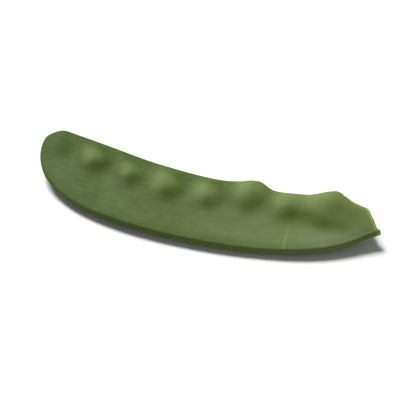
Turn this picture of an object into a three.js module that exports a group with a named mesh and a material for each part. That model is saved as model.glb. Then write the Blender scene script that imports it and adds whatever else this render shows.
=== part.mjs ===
// A snow pea pod lying on its side: one flat, closed pod that grew in one piece.
// The rounded blossom tip is at -X and the snapped stalk end at +X. The straighter
// back seam, where the young peas hang, is at +Y and the full, curved belly seam at -Y.
// Millimetres, +Z up, origin under the middle of the pod on the surface it lies on.
import * as THREE from "three";

// Outline of the flat pod, from the back corner of the snapped end, along the back seam,
// round the tip and along the belly seam to the belly corner of the snapped end.
const outlinePoints = [
  [33.6, 5.5], [30.6, 6.2], [27.0, 7.5], [22.8, 5.8], [18.0, 4.5], [12.8, 3.7], [8.6, 5.3], [4.6, 4.0],
  [0.0, 3.0], [-14.0, 3.0], [-26.0, 4.2], [-34.5, 5.1], [-38.8, 5.2],
  [-41.4, 2.3],
  [-40.7, -2.8], [-36.4, -9.0], [-27.5, -14.4], [-14.0, -17.0], [0.0, -16.9], [12.5, -15.2], [24.5, -11.6],
  [32.0, -7.2], [38.4, -0.6],
];
const tipPoint = 13; // the outline point at the very tip

// Lens-shaped section of the pod, as half thicknesses from its middle surface.
const fleshHalf = 1.4; // flat cheek between the peas and the belly seam
const fleshRise = 6.0; // distance from the seams over which the cheek reaches that thickness
const lensPower = 2.2; // roundness of the rim: 2 is an ellipse, more is squarer
const softening = 1.2; // joins the rise from both seams without a ridge between them

// The row of young peas that show as low bumps on both cheeks.
const peas = [
  { along: -28.0, across: 0.67, size: 0.9 },
  { along: -18.9, across: 0.68, size: 0.84 },
  { along: -10.0, across: 0.66, size: 1.04 },
  { along: -0.5, across: 0.67, size: 0.95 },
  { along: 8.2, across: 0.76, size: 1.12 },
  { along: 17.4, across: 0.7, size: 0.98 },
  { along: 26.0, across: 0.77, size: 1.65 },
];
const peaRise = 1.45; // height of a bump of size 1 above the cheek
const peaSlant = [46, 16].map(THREE.MathUtils.degToRad); // lean of the first and last bump, top towards the tip
const peaWidth = 2.3; // spread of a bump to each side
const peaUp = 3.8; // spread towards the back seam, where the pea hangs
const peaDown = 2.3; // spread towards the belly seam
const peaMargin = 2.0; // distance from the seams over which the bumps grow
const lowerCheekRise = 0.85; // bumps of the lower cheek next to those of the upper one

// Gentle shape of the whole pod out of its plane.
const bow = 0.1; // rise of both ends over the middle
const twist = THREE.MathUtils.degToRad(-1.5); // turn of each end about the length, opposite ways
const curl = 1.3; // rise of the belly seam over the flat middle
const curlStart = -3.0; // where the curl begins, across the pod
const curlSpan = 14.0; // distance over which it rises

// How the pod leans where it comes to rest on its lower bumps and its belly seam.
const restRoll = THREE.MathUtils.degToRad(11.5); // lifts the back seam
const restPitch = THREE.MathUtils.degToRad(0.95); // lifts the tip

const stationCount = 72; // sections along the pod
const acrossCount = 20; // steps across each cheek
const tipCrowding = 1.25; // above 1, the sections stand closer together towards the tip
const outlineSteps = 20; // fine steps between two outline points

const outline = new THREE.CatmullRomCurve3(outlinePoints.map(([x, y]) => new THREE.Vector3(x, y, 0)));
const outlineLengths = outline.getLengths((outlinePoints.length - 1) * outlineSteps);
outline.arcLengthDivisions = outlineLengths.length - 1;
const tipLength = outlineLengths[tipPoint * outlineSteps] / outlineLengths.at(-1);
const seams = outline.getPoints(outlineLengths.length - 1);
const backSeam = seams.slice(0, tipPoint * outlineSteps + 1);
const bellySeam = seams.slice(tipPoint * outlineSteps);

function mix(a, b, share) {
  return a + (b - a) * share;
}

function smoothStep(x) {
  return THREE.MathUtils.smoothstep(x, 0, 1);
}

// A point of the flat pod: along is 0 at the tip and 1 at the snapped end, across is 0
// on the belly seam and 1 on the back seam.
function flatPoint(along, across) {
  const back = outline.getPointAt(tipLength * (1 - along));
  const belly = outline.getPointAt(mix(tipLength, 1, along));
  return belly.lerp(back, across);
}

// Distance from a flat point to the nearest stretch of a seam.
const stretch = new THREE.Line3();
const nearest = new THREE.Vector3();
function distanceTo(seam, point) {
  let distance = Infinity;
  for (let k = 1; k < seam.length; k += 1) {
    stretch.set(seam[k - 1], seam[k]);
    stretch.closestPointToPoint(point, true, nearest);
    distance = Math.min(distance, nearest.distanceTo(point));
  }
  return distance;
}

// Middle of each pea on the flat pod, with across counted straight over from seam to seam,
// and its lean.
const peaPlaces = peas.map(({ along, across, size }, count) => {
  const nearer = (a, b) => (Math.abs(a.x - along) < Math.abs(b.x - along) ? a : b);
  const seamAt = (seam) => seam.reduce(nearer).y;
  const slant = mix(...peaSlant, count / (peas.length - 1));
  return { x: along, y: mix(seamAt(bellySeam), seamAt(backSeam), across), size, slant };
});

// Height of the pea bumps at a flat point.
function bumpHeight(point) {
  let height = 0;
  for (const { x, y, size, slant } of peaPlaces) {
    const east = (point.x - x) / size;
    const north = (point.y - y) / size;
    const up = north * Math.cos(slant) - east * Math.sin(slant);
    const aside = east * Math.cos(slant) + north * Math.sin(slant);
    const reach = Math.hypot(aside / peaWidth, up / (up > 0 ? peaUp : peaDown));
    height += peaRise * size * Math.exp(-0.5 * reach ** 2);
  }
  return height;
}

// Half thickness of the pod above (side 1) or below (side -1) its middle surface.
function halfThickness(point, side) {
  const toBelly = distanceTo(bellySeam, point);
  const toBack = distanceTo(backSeam, point);
  const soft = softening / Math.hypot(1 / toBelly, 1 / toBack);
  const share = Math.min(soft / fleshRise, 1);
  const cheek = fleshHalf * (1 - (1 - share) ** lensPower) ** (1 / lensPower);
  const inside = smoothStep(Math.min(toBelly, toBack) / peaMargin);
  return cheek + bumpHeight(point) * (side > 0 ? 1 : lowerCheekRise) * inside;
}

// The flat point, raised by the half thickness and bent by the bow, the twist and the curl.
function surfacePoint(along, across, side) {
  const flat = flatPoint(along, across);
  const onSeam = across === 0 || across === 1 || along === 0;
  const height = onSeam ? 0 : side * halfThickness(flat, side);
  const lengthShare = flat.x / (outlinePoints[0][0] - outlinePoints[tipPoint][0]) * 2;
  const turn = twist * lengthShare;
  const curlShare = Math.max((curlStart - flat.y) / curlSpan, 0);
  return new THREE.Vector3(
    flat.x,
    flat.y * Math.cos(turn) - height * Math.sin(turn),
    flat.y * Math.sin(turn) + height * Math.cos(turn) + bow * lengthShare ** 2 + curl * curlShare ** 2,
  );
}

// One closed skin: a ring of points for each section, from the belly seam over the upper
// cheek to the back seam and home under the lower cheek, a fan at the tip and one over
// the snapped end.
function makePodGeometry() {
  const positions = [];
  const faces = [];
  const ringSize = 2 * acrossCount;
  const addPoint = (point) => {
    positions.push(point.x, point.y, point.z);
    return positions.length / 3 - 1;
  };
  const tip = addPoint(surfacePoint(0, 0.5, 1));
  for (let station = 1; station <= stationCount; station += 1) {
    const along = (station / stationCount) ** tipCrowding;
    for (let step = 0; step < ringSize; step += 1) {
      const across = (1 - Math.cos((Math.PI * step) / acrossCount)) / 2;
      const clean = step === 0 ? 0 : step === acrossCount ? 1 : across;
      addPoint(surfacePoint(along, clean, step <= acrossCount ? 1 : -1));
    }
  }
  const at = (station, step) => 1 + (station - 1) * ringSize + (step % ringSize);
  for (let step = 0; step < ringSize; step += 1) {
    faces.push(tip, at(1, step), at(1, step + 1));
    for (let station = 1; station < stationCount; station += 1) {
      faces.push(at(station, step), at(station + 1, step), at(station + 1, step + 1));
      faces.push(at(station, step), at(station + 1, step + 1), at(station, step + 1));
    }
  }
  const cut = addPoint(surfacePoint(1, 0.5, 1).lerp(surfacePoint(1, 0.5, -1), 0.5));
  for (let step = 0; step < ringSize; step += 1) {
    faces.push(cut, at(stationCount, step + 1), at(stationCount, step));
  }
  const geometry = new THREE.BufferGeometry();
  geometry.setAttribute("position", new THREE.Float32BufferAttribute(positions, 3));
  geometry.setIndex(faces);
  geometry.computeVertexNormals();
  return geometry;
}

const podGreen = new THREE.MeshStandardMaterial({ color: 0x70804a, roughness: 0.55, metalness: 0 });
const pod = new THREE.Mesh(makePodGeometry(), podGreen);
pod.name = "pod";

// Lean the pod as it rests, then set its lowest point on the surface and the middle of
// its box over the origin.
const resting = new THREE.Group();
resting.rotation.set(restRoll, restPitch, 0);
resting.add(pod);
const snowPea = new THREE.Group();
snowPea.add(resting);
snowPea.updateMatrixWorld(true);
const extent = new THREE.Box3().setFromObject(resting, true);
const middle = extent.getCenter(new THREE.Vector3());
resting.position.set(-middle.x, -middle.y, -extent.min.z);

export default snowPea;
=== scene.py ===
import math

import bmesh
import bpy
import numpy as np
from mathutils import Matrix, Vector


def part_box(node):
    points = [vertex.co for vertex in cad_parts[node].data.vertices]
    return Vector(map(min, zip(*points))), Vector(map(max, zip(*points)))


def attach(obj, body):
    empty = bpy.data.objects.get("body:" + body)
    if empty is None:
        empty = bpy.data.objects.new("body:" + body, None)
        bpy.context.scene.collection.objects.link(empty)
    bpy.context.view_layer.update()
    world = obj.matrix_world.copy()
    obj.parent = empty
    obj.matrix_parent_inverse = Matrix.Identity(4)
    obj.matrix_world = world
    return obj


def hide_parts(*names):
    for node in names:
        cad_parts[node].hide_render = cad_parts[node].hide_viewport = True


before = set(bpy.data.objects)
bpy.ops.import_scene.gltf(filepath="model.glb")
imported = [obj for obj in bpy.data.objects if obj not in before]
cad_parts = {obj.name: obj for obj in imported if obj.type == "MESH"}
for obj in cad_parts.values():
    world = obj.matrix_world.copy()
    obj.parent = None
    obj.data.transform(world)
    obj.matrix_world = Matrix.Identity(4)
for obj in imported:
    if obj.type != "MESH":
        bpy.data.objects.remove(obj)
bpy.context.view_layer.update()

pod_low, pod_high = (Vector(corner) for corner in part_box("pod"))
MM = 0.001

# ---------------------------------------------------------------- driving dimensions, mm

# Outline of the flat pod: back seam from the snapped end, round the tip, belly seam home.
OUTLINE = [
    (33.6, 5.5), (30.6, 6.2), (27.0, 7.5), (22.8, 5.8), (18.0, 4.5), (12.8, 3.7), (8.6, 5.3), (4.6, 4.0),
    (0.0, 3.0), (-14.0, 3.0), (-26.0, 4.2), (-34.5, 5.1), (-38.8, 5.2),
    (-41.4, 2.3),
    (-40.7, -2.8), (-36.4, -9.0), (-27.5, -14.4), (-14.0, -17.0), (0.0, -16.9), (12.5, -15.2), (24.5, -11.6),
    (32.0, -7.2), (38.4, -0.6),
]
TIP = 13  # the outline point at the very tip
OUTLINE_STEPS = 24  # fine steps between two outline points

FLESH_HALF = 1.4  # half the thickness of the flat cheek
FLESH_RISE = 6.0  # distance from the seams over which the cheek reaches that thickness
LENS_POWER = 2.2  # roundness of the rim: 2 is an ellipse, more is squarer
SOFTENING = 1.2  # joins the rise from both seams without a ridge between them
CORD_RISE = 0.07  # how far the cord of each seam stands proud of the cheek
CORD_PLACE = 0.45  # distance of the cord's crown from the rim
CORD_WIDTH = 0.28  # spread of the cord to each side of its crown

# The young peas under the skin: along the pod, across it from belly (0) to back (1), size.
PEAS = [
    (-28.0, 0.67, 0.9), (-18.9, 0.68, 0.84), (-10.0, 0.66, 1.04), (-0.5, 0.67, 0.95),
    (8.2, 0.76, 1.12), (17.4, 0.70, 0.98), (26.0, 0.77, 1.65),
]
PEA_RISE = 1.45  # height of a bump of size 1 above the cheek
PEA_SLANT = (math.radians(46.0), math.radians(16.0))  # lean of the first and last bump towards the tip
PEA_WIDTH = 2.3  # spread of a bump to each side
PEA_UP = 3.8  # spread towards the back seam, where the pea hangs
PEA_DOWN = 2.3  # spread towards the belly seam
PEA_MARGIN = 2.0  # distance from the seams over which the bumps grow
LOWER_CHEEK_RISE = 0.85  # bumps of the lower cheek next to those of the upper one

BOW = 0.1  # rise of both ends over the middle
TWIST = math.radians(-1.5)  # turn of each end about the length, opposite ways
CURL = 1.3  # rise of the belly seam over the flat middle
CURL_START = -3.0  # where the curl begins, across the pod
CURL_SPAN = 14.0  # distance over which it rises
REST_ROLL = math.radians(11.5)  # lifts the back seam as the pod rests on its lower bumps
REST_PITCH = math.radians(0.95)  # lifts the tip

# Fine shape of the skin.
WAVE_RISE = 0.22  # slow waves of the whole pod
WAVE_LENGTH = 15.0
LUMP_RISE = 0.07  # unevenness of each cheek
LUMP_LENGTH = 4.5
LUMP_SHIFT = 9.0  # makes the lumps of the two cheeks differ
GRAIN_RISE = 0.012  # grain drawn out along the pod
GRAIN_LENGTH = (1.5, 0.6)
GRAIN_SLANT = 0.6
GRAIN_SHIFT = 5.0  # makes the grain of the two cheeks differ
SEAM_GROOVE = 0.10  # furrow between the two ridges of the back seam
GROOVE_HALF = 0.16  # half thickness over which the furrow fades
GROOVE_START = 1 / 12  # share of the length over which it deepens from the tip
DOT = (-5.4, 0.0, 0.372)  # a small scar by the back seam: place and spread
DOT_DEPTH = 0.10
SCRATCH = ((19.9, -6.7), (20.9, -12.2))  # a healed scratch on the upper cheek
SCRATCH_WIDTH = 0.17
SCRATCH_DEPTH = 0.03
SCRATCH_FAINT = 0.35  # strength where it starts, next to 1 where it ends by the belly seam
HOLLOW = (-33.6, -0.6, 2.3)  # the upper cheek sinks in before the first pea: place and spread
HOLLOW_DEPTH = 0.55

# Painted shade: deep green painted where shade falls, on the low side of each pea and in the dip
# before the last one, and a painted dimming of the lit upper side of the sixth. Place on the flat pod,
# spread and depth of colour.
PAINTED_SHADES = [
    (-26.7, -3.9, 1.4, 0.58), (-17.4, -3.9, 1.1, 0.58), (-8.6, -5.9, 1.4, 0.65), (0.9, -5.8, 1.3, 0.66),
    (9.8, -4.1, 1.5, 0.64), (18.7, -3.3, 1.6, 0.68), (22.8, -2.4, 1.6, 0.72), (26.6, -3.4, 2.0, 1.00),
    (30.8, -2.8, 1.4, 0.60), (16.6, -0.2, 2.2, 0.22),
]
PAINTED_SHADE_FLATTENING = 0.75  # height of a painted shade spot next to its width

# The snapped end and the blossom tip.
BREAK_RUN = 9  # stations that tell which way the pod points at the break
BREAK_REACH = 14  # stations over which the break shifts the skin
BREAK_JAGS = 0.09  # depth of the coarse jags of the break
COARSE_JAGS = 9.0  # how many of them stand across the break
FINE_JAGS = 26.0  # how many fine ones stand on top of them
FINE_JAG_SHARE = 0.6  # height of the fine jags next to the coarse ones
FINE_JAG_SHIFT = 7.0  # makes the two kinds differ
CORD_STUB = 0.5  # the belly cord left standing past the break
CORD_STUB_END = 0.14  # how far across the pod the stub reaches
CORD_STUB_FADE = 0.09  # share of the way across over which it falls back
BACK_STUB = 0.2  # the back seam left standing past the break
BACK_STUB_WIDTH = 0.03
TORN_MARGIN = 0.8  # paleness of the skin's torn edge
MARGIN_START = 5  # stations from the break at which the edge begins to pale
MARGIN_FADE = 3.0  # stations over which it pales
BREAK_DEPTH = 0.5  # how far the torn flesh sinks inside the skin
LIP_SHARE = 0.4  # share of the way in over which the flesh drops behind the skin
LIP_DROP = 0.55  # share of the depth that it drops there
CREASE_START = 0.55  # share of the way in where the crease between the cheeks begins
FIBRE_RISE = 0.10  # roughness of the torn flesh
FIBRE_WIDTH = 0.9  # how fast the roughness changes round a ring
FIBRE_ROW = 3.0  # how fast it changes from ring to ring
FIBRE_START = 1 / 3  # share of the way in over which the roughness grows
TIP_NUB = 0.15  # the dry remnant of the blossom
TIP_NUB_SPREAD = 0.45  # its spread along the rim

STATIONS = 400  # sections along the pod
TIP_CROWDING = 1.25  # above 1, the sections stand closer together towards the tip
ACROSS = 112  # steps over each cheek
END_RINGS = 9  # rings that close the snapped end
SPECK = 1e-6  # keeps a distance above zero
MERGE_DISTANCE = 0.002  # doubled points closer than this become one


# ---------------------------------------------------------------- small helpers

def mix(a, b, share):
    return a + (b - a) * share


def smooth(x):
    x = np.clip(x, 0.0, 1.0)
    return x * x * (3.0 - 2.0 * x)


def bell(x):
    return np.exp(-0.5 * x * x)


class Ripple:
    """Smooth random hills and hollows over a plane, the same on every run."""

    def __init__(self, seed, cells=64):
        self.cells = cells
        self.heights = np.random.default_rng(seed).uniform(-1.0, 1.0, (cells, cells))

    def __call__(self, x, y):
        column, row = np.floor(x).astype(int), np.floor(y).astype(int)
        u, v = smooth(x - column), smooth(y - row)

        def at(i, j):
            return self.heights[(column + i) % self.cells, (row + j) % self.cells]

        return mix(mix(at(0, 0), at(1, 0), u), mix(at(0, 1), at(1, 1), u), v)


WAVES, LUMPS, GRAIN, JAGS = (Ripple(seed) for seed in (3, 11, 23, 31))


# ---------------------------------------------------------------- outline and seams

def outline_curve():
    """The outline as a fine line: a centripetal Catmull-Rom curve through its points."""
    points = np.array(OUTLINE)
    ends = [2 * points[0] - points[1], *points, 2 * points[-1] - points[-2]]
    line = []
    for before, start, end, after in zip(ends, ends[1:], ends[2:], ends[3:]):
        gaps = [math.sqrt(np.linalg.norm(b - a)) for a, b in ((before, start), (start, end), (end, after))]
        leave = (start - before) / gaps[0] - (end - before) / (gaps[0] + gaps[1]) + (end - start) / gaps[1]
        reach = (end - start) / gaps[1] - (after - start) / (gaps[1] + gaps[2]) + (after - end) / gaps[2]
        leave, reach = leave * gaps[1], reach * gaps[1]
        cubic = 2 * start - 2 * end + leave + reach
        square = -3 * start + 3 * end - 2 * leave - reach
        for step in range(OUTLINE_STEPS):
            t = step / OUTLINE_STEPS
            line.append(cubic * t**3 + square * t**2 + leave * t + start)
    line.append(points[-1])
    return np.array(line)


LINE = outline_curve()
BACK_LINE = LINE[: TIP * OUTLINE_STEPS + 1][::-1]  # from the tip to the snapped end
BELLY_LINE = LINE[TIP * OUTLINE_STEPS:]
TIP_PLACE = BELLY_LINE[0]


def walk(line, share):
    """Points at even shares of a line's length."""
    lengths = np.concatenate([[0.0], np.cumsum(np.linalg.norm(np.diff(line, axis=0), axis=1))])
    place = share * lengths[-1]
    return np.stack([np.interp(place, lengths, line[:, axis]) for axis in (0, 1)], axis=-1)


def distance_to(line, points):
    """Distance from each point to the nearest stretch of a line."""
    flat = points.reshape(-1, 2)
    nearest = np.full(len(flat), np.inf)
    for start, end in zip(line, line[1:]):
        run = end - start
        share = np.clip(((flat - start) @ run) / (run @ run), 0.0, 1.0)
        nearest = np.minimum(nearest, np.linalg.norm(flat - start - share[:, None] * run, axis=1))
    return nearest.reshape(points.shape[:-1])


def seam_distances(flat):
    """Distance to the nearer seam, and one that joins the rise from both seams softly."""
    to_belly, to_back = distance_to(BELLY_LINE, flat), distance_to(BACK_LINE, flat)
    distance = np.minimum(to_belly, to_back)
    soft_distance = SOFTENING / np.sqrt(1.0 / (to_belly + SPECK) ** 2 + 1.0 / (to_back + SPECK) ** 2)
    for values in (distance, soft_distance):
        values[:, 0] = values[:, -1] = 0.0
    return distance, soft_distance


# ---------------------------------------------------------------- thickness of the pod

def pea_places():
    """Each pea's middle on the flat pod, its size and its lean."""
    back, belly = BACK_LINE[np.argsort(BACK_LINE[:, 0])], BELLY_LINE[np.argsort(BELLY_LINE[:, 0])]
    for count, (along, across, size) in enumerate(PEAS):
        low, high = np.interp(along, *belly.T), np.interp(along, *back.T)
        yield along, mix(low, high, across), size, mix(*PEA_SLANT, count / (len(PEAS) - 1))


def pea_height(x, y):
    """Height of the pea bumps, where 1 is the top of a bump of size 1."""
    height = np.zeros_like(x)
    for centre_x, centre_y, size, slant in pea_places():
        east, north = (x - centre_x) / size, (y - centre_y) / size
        up = north * math.cos(slant) - east * math.sin(slant)
        aside = east * math.cos(slant) + north * math.sin(slant)
        height += size * bell(np.hypot(aside / PEA_WIDTH, up / np.where(up > 0, PEA_UP, PEA_DOWN)))
    return height


def painted_pea_shade(x, y):
    """Painted shade round the peas: deep green where their low sides lie in shade."""
    shade = np.zeros_like(x)
    for low_x, low_y, spread, depth in PAINTED_SHADES:
        shade += depth * bell(np.hypot(x - low_x, (y - low_y) / PAINTED_SHADE_FLATTENING) / spread)
    return np.minimum(shade, 1.0)


def cheek_height(soft_distance):
    """Half thickness of the bare cheek: a lens with a round rim and a flat middle."""
    share = np.clip(soft_distance / FLESH_RISE, 0.0, 1.0)
    return FLESH_HALF * (1.0 - (1.0 - share) ** LENS_POWER) ** (1.0 / LENS_POWER)


def scratch_mark(x, y):
    """Strength of the healed scratch, which grows from its start to its end."""
    start, end = SCRATCH
    run = np.subtract(end, start)
    share = np.clip(((x - start[0]) * run[0] + (y - start[1]) * run[1]) / (run @ run), 0.0, 1.0)
    aside = np.hypot(x - start[0] - share * run[0], y - start[1] - share * run[1])
    return bell(aside / SCRATCH_WIDTH) * mix(SCRATCH_FAINT, 1.0, share)


def round_mark(x, y, spot):
    """A round mark on the cheek: spot gives its place and spread."""
    return bell(np.hypot(x - spot[0], y - spot[1]) / spot[2])


def half_thickness(x, y, distance, soft_distance, side):
    """Half thickness of the pod above (side 1) or below (side -1) its middle surface."""
    inside = smooth(distance / PEA_MARGIN)
    bumps = PEA_RISE * (1.0 if side > 0 else LOWER_CHEEK_RISE) * pea_height(x, y) * inside
    cord = CORD_RISE * bell((distance - CORD_PLACE) / CORD_WIDTH)
    lumps = LUMP_RISE * LUMPS(x / LUMP_LENGTH + LUMP_SHIFT * side, y / LUMP_LENGTH) * inside
    grain_x = x / GRAIN_LENGTH[0] + GRAIN_SLANT * y + GRAIN_SHIFT * side
    grain = GRAIN_RISE * GRAIN(grain_x, y / GRAIN_LENGTH[1]) * inside
    height = cheek_height(soft_distance) + bumps + cord + lumps + grain
    if side > 0:
        height -= SCRATCH_DEPTH * scratch_mark(x, y) + DOT_DEPTH * round_mark(x, y, DOT)
        height -= HOLLOW_DEPTH * round_mark(x, y, HOLLOW) * inside
    height[:, 0] = height[:, -1] = 0.0
    return height


# ---------------------------------------------------------------- the pod's skin

def furrow(along, across, height):
    """How far the furrow of the back seam draws the rim in."""
    from_tip = smooth(along / GROOVE_START)[:, None]
    return SEAM_GROOVE * bell(height / GROOVE_HALF) * (across > 0.5) * from_tip


def way_out(belly, back):
    """The way the pod points where it is snapped."""
    way = (belly[-1] - belly[-BREAK_RUN]) + (back[-1] - back[-BREAK_RUN])
    return way / np.linalg.norm(way)


def break_jags(across):
    """How far each line along the pod runs past a straight break."""
    coarse = JAGS(across * COARSE_JAGS, across)
    fine = FINE_JAG_SHARE * JAGS(across * FINE_JAGS, across + FINE_JAG_SHIFT)
    belly_stub = CORD_STUB * smooth((CORD_STUB_END - across) / CORD_STUB_FADE)
    back_stub = BACK_STUB * bell((1.0 - across) / BACK_STUB_WIDTH)
    return BREAK_JAGS * (coarse + fine) + belly_stub + back_stub


def bend(x, y, z):
    """Bows, twists and curls the flat pod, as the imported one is, with slow waves on top."""
    share = 2.0 * x / (OUTLINE[0][0] - OUTLINE[TIP][0])
    turn = TWIST * share
    curl = CURL * np.clip((CURL_START - y) / CURL_SPAN, 0.0, None) ** 2
    waves = WAVE_RISE * WAVES(x / WAVE_LENGTH, y / WAVE_LENGTH)
    return np.stack([
        x,
        y * np.cos(turn) - z * np.sin(turn),
        y * np.sin(turn) + z * np.cos(turn) + BOW * share**2 + curl + waves,
    ], axis=-1)


def lean(points):
    """Leans the pod as it rests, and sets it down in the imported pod's box."""
    roll = np.array([
        [1, 0, 0],
        [0, math.cos(REST_ROLL), -math.sin(REST_ROLL)],
        [0, math.sin(REST_ROLL), math.cos(REST_ROLL)],
    ])
    pitch = np.array([
        [math.cos(REST_PITCH), 0, math.sin(REST_PITCH)],
        [0, 1, 0],
        [-math.sin(REST_PITCH), 0, math.cos(REST_PITCH)],
    ])
    leaned = points @ (roll @ pitch).T * MM
    middle = (leaned.min(axis=0) + leaned.max(axis=0)) / 2
    shift = np.array((pod_low + pod_high) / 2) - middle
    shift[2] = pod_low.z - leaned[:, 2].min()
    return leaned + shift


def torn_rings(last, way):
    """The torn flesh: rings that shrink onto the line where the cheeks meet, and sink in."""
    ring = len(last)
    heart = (last + last[(-np.arange(ring)) % ring]) / 2.0
    heart[0], heart[ACROSS] = heart[1], heart[ACROSS - 1]
    for step in range(1, END_RINGS):
        share = step / (END_RINGS - 1)
        lip = smooth(share / LIP_SHARE)
        crease = smooth((share - CREASE_START) / (1.0 - CREASE_START))
        sunk = BREAK_DEPTH * mix(crease, lip, LIP_DROP)
        if share < 1:
            fibres = JAGS(np.arange(ring) * FIBRE_WIDTH, np.full(ring, FIBRE_ROW * step))
            sunk = sunk + FIBRE_RISE * fibres * smooth(share / FIBRE_START)
        flesh = mix(last, heart, share)
        flesh[:, :2] -= np.reshape(sunk, (-1, 1)) * way
        yield flesh, max(TORN_MARGIN, lip)


def skin_faces(ring):
    """A fan round the tip point, then four-sided faces from ring to ring."""

    def at(count, step):
        return 1 + count * ring + step % ring

    faces = [(0, at(0, step), at(0, step + 1)) for step in range(ring)]
    for count in range(STATIONS + END_RINGS - 2):
        faces += [
            (at(count, step), at(count + 1, step), at(count + 1, step + 1), at(count, step + 1))
            for step in range(ring)
        ]
    return faces


def add_layers(mesh, places, seams, cuts):
    """Stores what the paint reads at each point of the skin."""
    x, y, side = places.T
    layers = {
        "place": places,
        "seam": seams,
        "cut": cuts,
        "pea": pea_height(x, y),
        # painted shade round the peas
        "shade": painted_pea_shade(x, y),
        "scratch": scratch_mark(x, y) * (side > 0),
        "dot": round_mark(x, y, DOT) * (side > 0),
    }
    for name, values in layers.items():
        kind, field = ("FLOAT_VECTOR", "vector") if name == "place" else ("FLOAT", "value")
        layer = mesh.attributes.new(name, kind, "POINT")
        layer.data.foreach_set(field, values.astype(np.float32).ravel())


def close_skin(mesh, ring):
    """Merges the doubled points of the last ring, which has folded flat onto one line."""
    shape = bmesh.new()
    shape.from_mesh(mesh)
    shape.verts.ensure_lookup_table()
    folded = shape.verts[len(shape.verts) - ring:]
    bmesh.ops.remove_doubles(shape, verts=folded, dist=MERGE_DISTANCE * MM)
    bmesh.ops.recalc_face_normals(shape, faces=shape.faces)
    shape.to_mesh(mesh)
    shape.free()


def pod_skin():
    along = (np.arange(1, STATIONS + 1) / STATIONS) ** TIP_CROWDING
    across = (1.0 - np.cos(np.pi * np.arange(ACROSS + 1) / ACROSS)) / 2.0
    belly, back = walk(BELLY_LINE, along), walk(BACK_LINE, along)
    flat = mix(belly[:, None, :], back[:, None, :], across[None, :, None])
    x, y = flat[..., 0], flat[..., 1]
    distance, soft_distance = seam_distances(flat)
    upper_half, lower_half = (half_thickness(x, y, distance, soft_distance, side) for side in (1, -1))

    # The furrow draws the back rim in, the break shifts the last sections, and the tip has its nub.
    inward = (belly - back) / np.linalg.norm(belly - back, axis=1)[:, None]
    way = way_out(belly, back)
    station = np.arange(STATIONS)
    near_break = smooth((station - (STATIONS - 1 - BREAK_REACH)) / BREAK_REACH)
    moved = flat + furrow(along, across, upper_half)[..., None] * inward[:, None, :]
    moved += (near_break[:, None] * break_jags(across))[..., None] * way
    moved[..., 0] -= TIP_NUB * bell(np.linalg.norm(flat - TIP_PLACE, axis=-1) / TIP_NUB_SPREAD)

    # A ring runs from the belly seam over the upper cheek and home under the lower one.
    upper = bend(moved[..., 0], moved[..., 1], upper_half)
    lower = bend(moved[..., 0], moved[..., 1], -lower_half)
    ring = 2 * ACROSS
    order = [*range(ACROSS + 1), *range(ACROSS - 1, 0, -1)]
    is_upper = np.arange(ring) <= ACROSS
    rings = np.where(is_upper[None, :, None], upper[:, order], lower[:, order])
    sides = np.broadcast_to(np.where(is_upper, 1.0, -1.0), rings.shape[:2])
    ring_places = np.stack([x[:, order], y[:, order], sides], axis=-1)
    margin = TORN_MARGIN * smooth((station - (STATIONS - MARGIN_START)) / MARGIN_FADE)

    tip = bend(*np.array([[TIP_PLACE[0] - TIP_NUB], [TIP_PLACE[1]], [0.0]]))
    points, places = [tip, *rings], [np.array([[*TIP_PLACE, 1.0]]), *ring_places]
    seams, cuts = [np.zeros(1), *distance[:, order]], [np.zeros(1), np.repeat(margin, ring)]
    for flesh, cut in torn_rings(rings[-1], way):
        points.append(flesh)
        places.append(ring_places[-1])
        seams.append(distance[-1, order])
        cuts.append(np.full(ring, cut))

    mesh = bpy.data.meshes.new("pod_skin")
    mesh.from_pydata(lean(np.concatenate(points)).tolist(), [], skin_faces(ring))
    add_layers(mesh, np.concatenate(places), np.concatenate(seams), np.concatenate(cuts))
    close_skin(mesh, ring)
    mesh.shade_smooth()
    piece = bpy.data.objects.new("pod_skin", mesh)
    bpy.context.scene.collection.objects.link(piece)
    return piece


# ---------------------------------------------------------------- paint

# Sockets of a Mix node that mixes colours, which share their names with its other sockets.
MIX_SHARE, MIX_FIRST, MIX_SECOND = 0, 6, 7
MIX_RESULT = 2


class Paint:
    """A socket of a material's nodes, used in sums like a number."""

    def __init__(self, tree, socket=None):
        self.tree = tree
        self.socket = socket

    def node(self, kind, settings=None, sockets=None, output=0):
        """Adds a node: its settings first, then the values or links of its sockets."""
        made = self.tree.nodes.new("ShaderNode" + kind)
        for name, value in (settings or {}).items():
            setattr(made, name, value)
        for name, value in (sockets or {}).items():
            if isinstance(value, Paint):
                self.tree.links.new(value.socket, made.inputs[name])
            else:
                made.inputs[name].default_value = value
        return Paint(self.tree, made.outputs[output] if made.outputs else None)

    def math(self, operation, *values, clamp=False):
        settings = {"operation": operation, "use_clamp": clamp}
        return self.node("Math", settings, dict(enumerate(values)))

    def __add__(self, other):
        return self.math("ADD", self, other)

    __radd__ = __add__

    def __mul__(self, other):
        return self.math("MULTIPLY", self, other)

    __rmul__ = __mul__

    def __sub__(self, other):
        return self.math("SUBTRACT", self, other)

    def __rsub__(self, other):
        return self.math("SUBTRACT", other, self)

    def ramp(self, low, high, kind="LINEAR"):
        """0 up to low, 1 from high, and a straight rise between them."""
        settings = {"interpolation_type": kind}
        return self.node("MapRange", settings, {"Value": self, "From Min": low, "From Max": high})

    def between(self, low, high):
        """0 up to low, 1 from high, and a smooth rise between them."""
        return self.ramp(low, high, "SMOOTHSTEP")


def blend(first, second, share):
    """One colour turning into another where share goes from 0 to 1."""

    def as_colour(colour):
        return colour if isinstance(colour, Paint) else (*colour, 1.0)

    sockets = {MIX_SHARE: share, MIX_FIRST: as_colour(first), MIX_SECOND: as_colour(second)}
    return share.node("Mix", {"data_type": "RGBA"}, sockets, MIX_RESULT)


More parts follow.
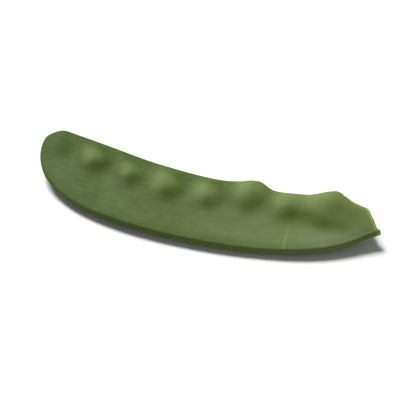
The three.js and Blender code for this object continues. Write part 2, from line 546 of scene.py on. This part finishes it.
SHADED_TIP_GREEN = (0.051, 0.084, 0.010)  # the cheek towards the tip, darker there with painted shade
LIT_STALK_GREEN = (0.098, 0.142, 0.020)  # the cheek towards the stalk end, paler there with painted light
ROW_SHADE_GREEN = (0.042, 0.073, 0.006)  # painted shade in the hollows between the peas
PEA_GREEN = (0.125, 0.174, 0.027)
# painted shade on the low sides of the peas
PAINTED_SHADE_GREEN = (0.054, 0.092, 0.002)
VEIN_GREEN = (0.12, 0.165, 0.035)
# the belly cord's own darker green, with painted shade on its unlit side
BELLY_CORD_AND_SHADE = (0.078, 0.108, 0.008)
BACK_CORD = (0.095, 0.135, 0.022)
BLOOM = (0.20, 0.25, 0.13)  # the pale wax on the skin
SCAR_GREEN = (0.036, 0.066, 0.005)
HEALED = (0.24, 0.29, 0.10)
TORN_FLESH = (0.28, 0.34, 0.12)

# Sizes of the patterns in the skin: repeats to the millimetre.
CLOUD_SCALE = 0.10
MOTTLE_SCALE = 0.5
SPECKLE_SCALE = 2.6
STREAK_SCALE = 0.9
VEIN_SCALE = 0.55
VEIN_WIDTH = 0.14
VEIN_TURN = math.radians(-58.0)  # streaks and veins run slanting across the pod
VEIN_STRETCH = (0.35, 1.0, 1.0)

# How thick the wax lies, from 0 to 1: its even cover, and what adds to it.
# Towards the stalk end and by the belly there it adds painted light, and on the peas partly painted sheen.
WAX_COVER = 0.06
WAX_CLOUDS = 0.40
CLOUD_LEVEL = 0.35  # wax starts to gather above this part of the clouds
WAX_MOTTLE = 0.30
WAX_STREAKS = 0.16
WAX_SPECKLE = 0.16
# wax on the peas, partly painted sheen on their lit tops
WAX_AND_SHEEN_ON_PEAS = 0.12
# painted light: the cheek paler towards the stalk end
PAINTED_LIGHT_TO_STALK = 0.16
# painted light along the belly seam towards the stalk end
PAINTED_LIGHT_BY_BELLY = 0.20
# painted light on the belly half by the stalk end
PAINTED_LIGHT_AT_STALK = 0.22

# What is taken off it, as a share: less wax where painted shade lies, in the deep green spots and between
# the peas, and on the rim, bare skin with painted shade.
PAINTED_SHADE_WAX_CUT = 0.9
# less wax on the rim: its own bare skin, and painted shade on the belly cord
RIM_WEAR_AND_SHADE = 0.75
ROW_SHADE_WAX_CUT = 0.8

# How strongly each colour shows over the plain cheek, from 0 to 1.
# painted shade between the peas
ROW_SHADE_STRENGTH = 0.5
PEA_STRENGTH = (0.5, 0.25)  # at the tip, and what the length adds
# painted shade on the low sides of the peas
PAINTED_SHADE_STRENGTH = 0.9
VEIN_STRENGTH = 0.16
# the cord's own colour, and painted shade on the belly rim that grows towards the stalk end
CORD_AND_SHADE_STRENGTH = (0.25, 0.6)
SCAR_STRENGTH = 0.8
SCRATCH_STRENGTH = 0.55
FIBRE_STRENGTH = 0.5

# Roughness and fine relief of the skin.
ROUGHNESS = 0.62
ROUGH_MOTTLE = 0.14
ROUGH_WAX = 0.12
RELIEF_DEPTH = 0.12  # mm
RELIEF_STRENGTH = 0.4


def pod_paint():
    material = bpy.data.materials.new("waxy_pod_skin")
    material.use_nodes = True
    tree = material.node_tree
    tree.nodes.clear()
    paint = Paint(tree)

    def grown(name, output="Fac"):
        return paint.node("Attribute", {"attribute_name": name}, None, output)

    def part_of(vector, axis):
        return paint.node("SeparateXYZ", None, {"Vector": vector}, axis)

    def noise(scale, detail, where, roughness=0.5):
        return paint.node("TexNoise", None, {
            "Vector": where, "Scale": scale, "Detail": detail, "Roughness": roughness,
        }, "Fac")

    def swing(pattern):
        """A pattern's rise and fall about its middle."""
        return pattern - 0.5

    place = grown("place", "Vector")
    # shade: the painted shade round the peas
    seam, pea, cut, shade = grown("seam"), grown("pea"), grown("cut"), grown("shade")
    scratch, dot = grown("scratch"), grown("dot")
    along, across = part_of(place, "X"), part_of(place, "Y")

    clouds = noise(CLOUD_SCALE, 3.0, place)
    mottle = noise(MOTTLE_SCALE, 4.0, place)
    speckle = noise(SPECKLE_SCALE, 2.0, place)
    slanted = paint.node("Mapping", None, {
        "Vector": place, "Rotation": (0.0, 0.0, VEIN_TURN), "Scale": VEIN_STRETCH,
    })
    streaks = noise(STREAK_SCALE, 3.0, slanted, 0.6)
    cells = paint.node("TexVoronoi", {"feature": "DISTANCE_TO_EDGE"}, {
        "Vector": slanted, "Scale": VEIN_SCALE, "Randomness": 1.0,
    }, "Distance")
    veins = 1 - cells.between(0.0, VEIN_WIDTH)

    # Where on the pod, in millimetres of the flat pod.
    length_share = along.ramp(-40.0, 30.0)
    to_stalk = length_share * length_share * length_share
    stalk_end = along.between(19.0, 31.0)
    to_back = across.between(-6.0, 2.0)
    on_peas = pea.between(0.15, 0.95)
    on_rim = 1 - seam.between(0.1, 0.7)
    near_rim = 1 - seam.between(0.3, 3.0)
    near_belly = (1 - seam.between(1.5, 6.0)) * (1 - to_back)
    # Painted shade in the hollows between the peas, towards the back seam.
    shade_between_peas = across.between(-6.0, -1.0) * (1 - on_peas) * (1 - 0.6 * stalk_end)

    # Wax, with painted light added towards the stalk end and by the belly, and painted sheen on the peas.
    wax_and_painted_light = WAX_COVER + WAX_AND_SHEEN_ON_PEAS * on_peas * (1 - stalk_end)
    wax_and_painted_light = wax_and_painted_light + WAX_CLOUDS * (clouds - CLOUD_LEVEL)
    wax_and_painted_light = wax_and_painted_light + WAX_MOTTLE * swing(mottle) + WAX_STREAKS * swing(streaks)
    wax_and_painted_light = wax_and_painted_light + PAINTED_LIGHT_TO_STALK * to_stalk + PAINTED_LIGHT_BY_BELLY * to_stalk * near_belly
    wax_and_painted_light = wax_and_painted_light + PAINTED_LIGHT_AT_STALK * stalk_end * (1 - to_back)
    # Less wax where painted shade lies: in the deep green spots, between the peas and on the belly rim.
    wax_and_painted_light = wax_and_painted_light * (1 - PAINTED_SHADE_WAX_CUT * shade) * (1 - RIM_WEAR_AND_SHADE * on_rim) * (1 - ROW_SHADE_WAX_CUT * shade_between_peas)
    wax_and_painted_light = paint.math("ADD", wax_and_painted_light, WAX_SPECKLE * swing(speckle), clamp=True)

    # Darker towards the tip and paler towards the stalk end: painted shade and painted light.
    green = blend(SHADED_TIP_GREEN, LIT_STALK_GREEN, to_stalk)
    # Painted shade between the peas.
    green = blend(green, ROW_SHADE_GREEN, ROW_SHADE_STRENGTH * shade_between_peas)
    green = blend(green, PEA_GREEN, (PEA_STRENGTH[0] + PEA_STRENGTH[1] * length_share) * on_peas)
    # Painted shade on the low sides of the peas.
    green = blend(green, PAINTED_SHADE_GREEN, PAINTED_SHADE_STRENGTH * shade)
    green = blend(green, VEIN_GREEN, VEIN_STRENGTH * veins * (1 - near_rim))
    # The cords' own colour, with painted shade on the belly rim.
    cord = blend(BELLY_CORD_AND_SHADE, BACK_CORD, to_back)
    green = blend(green, cord, (CORD_AND_SHADE_STRENGTH[0] + CORD_AND_SHADE_STRENGTH[1] * to_stalk) * on_rim)
    skin = blend(green, BLOOM, wax_and_painted_light)
    skin = blend(skin, SCAR_GREEN, SCAR_STRENGTH * dot)
    skin = blend(skin, HEALED, SCRATCH_STRENGTH * scratch)
    flesh = blend(TORN_FLESH, VEIN_GREEN, FIBRE_STRENGTH * speckle.between(0.45, 0.62))

    relief = 0.5 * mottle + 0.25 * speckle + 0.45 * streaks + 0.12 * veins
    bump = paint.node("Bump", None, {
        "Strength": RELIEF_STRENGTH, "Distance": RELIEF_DEPTH * MM, "Height": relief,
    })
    shader = paint.node("BsdfPrincipled", None, {
        "Base Color": blend(skin, flesh, cut),
        "Roughness": ROUGHNESS + ROUGH_MOTTLE * swing(mottle) + ROUGH_WAX * wax_and_painted_light,
        "Normal": bump,
        "Specular IOR Level": 0.08,
        "Subsurface Weight": 0.08,
        "Subsurface Radius": (0.6, 1.0, 0.25),
        "Subsurface Scale": 0.9 * MM,
    })
    paint.node("OutputMaterial", None, {"Surface": shader})
    return material


skin = pod_skin()
skin.data.materials.append(pod_paint())
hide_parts("pod")
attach(skin, "root")

# ---------------------------------------------------------------- floor, light and camera

POD_MIDDLE = (pod_low + pod_high) / 2
FLOOR_SIDE = 20.0
FLOOR_WHITE = (0.86, 0.86, 0.86)
WALL_WHITE = (0.86, 0.86, 0.86)
WALL_TOP = (math.radians(8.0), math.radians(30.0))  # the walls fade out between these heights
CEILING_GREY = (0.13, 0.13, 0.13)
LIGHT_TURN = math.radians(228.0)  # the light stands behind the pod, towards its tip
LIGHT_RISE = math.radians(45.0)
LIGHT_SPREAD = math.radians(32.0)  # the angle that it fills
LIGHT_STRENGTH = 5.4
VIEW_TURN = math.radians(22.5)
VIEW_RISE = math.radians(37.0)
VIEW_DISTANCE = 0.62
VIEW_LENS = 256.0


def direction(turn, rise):
    """From the pod towards a thing at this turn round it (0 is in front) and this rise."""
    return Vector((math.sin(turn) * math.cos(rise), -math.cos(turn) * math.cos(rise), math.sin(rise)))


def stand(name, data, towards, distance):
    """Stands a light or a camera that way from the pod, facing it."""
    piece = bpy.data.objects.new(name, data)
    piece.location = POD_MIDDLE + towards * distance
    piece.rotation_euler = towards.to_track_quat("Z", "Y").to_euler()
    bpy.context.scene.collection.objects.link(piece)
    return piece


def floor_paint():
    material = bpy.data.materials.new("white_floor")
    material.use_nodes = True
    shader = material.node_tree.nodes["Principled BSDF"]
    shader.inputs["Base Color"].default_value = (*FLOOR_WHITE, 1.0)
    shader.inputs["Roughness"].default_value = 0.75
    shader.inputs["Specular IOR Level"].default_value = 0.2
    return material


def lay_floor():
    mesh = bpy.data.meshes.new("floor")
    half = FLOOR_SIDE / 2
    corners = [(-half, -half, 0), (half, -half, 0), (half, half, 0), (-half, half, 0)]
    mesh.from_pydata(corners, [], [(0, 1, 2, 3)])
    mesh.materials.append(floor_paint())
    floor = bpy.data.objects.new("floor", mesh)
    bpy.context.scene.collection.objects.link(floor)
    floor.location.z = pod_low.z


def soft_light():
    """A broad, even light as from a big soft box far away."""
    lamp = bpy.data.lights.new("soft_box_behind", "SUN")
    lamp.angle = LIGHT_SPREAD
    lamp.energy = LIGHT_STRENGTH
    stand("soft_box_behind", lamp, direction(LIGHT_TURN, LIGHT_RISE), 1.0)


def studio_walls():
    """Pale walls round the floor, dimmer overhead."""
    world = bpy.data.worlds.new("pale_studio")
    world.use_nodes = True
    tree = world.node_tree
    tree.nodes.clear()
    paint = Paint(tree)
    toward = paint.node("TexCoord", None, None, "Generated")
    height = paint.node("SeparateXYZ", None, {"Vector": toward}, "Z")
    shade = blend(WALL_WHITE, CEILING_GREY, height.between(*(math.sin(rise) for rise in WALL_TOP)))
    light = paint.node("Background", None, {"Color": shade, "Strength": 1.0})
    paint.node("OutputWorld", None, {"Surface": light})
    bpy.context.scene.world = world


def place_camera():
    lens = bpy.data.cameras.new("camera")
    lens.lens = VIEW_LENS
    lens.clip_start = 0.01
    lens.clip_end = 20.0
    return stand("camera", lens, direction(VIEW_TURN, VIEW_RISE), VIEW_DISTANCE)


lay_floor()
soft_light()
studio_walls()
bpy.context.scene.view_settings.view_transform = "Standard"
bpy.context.scene.camera = place_camera()
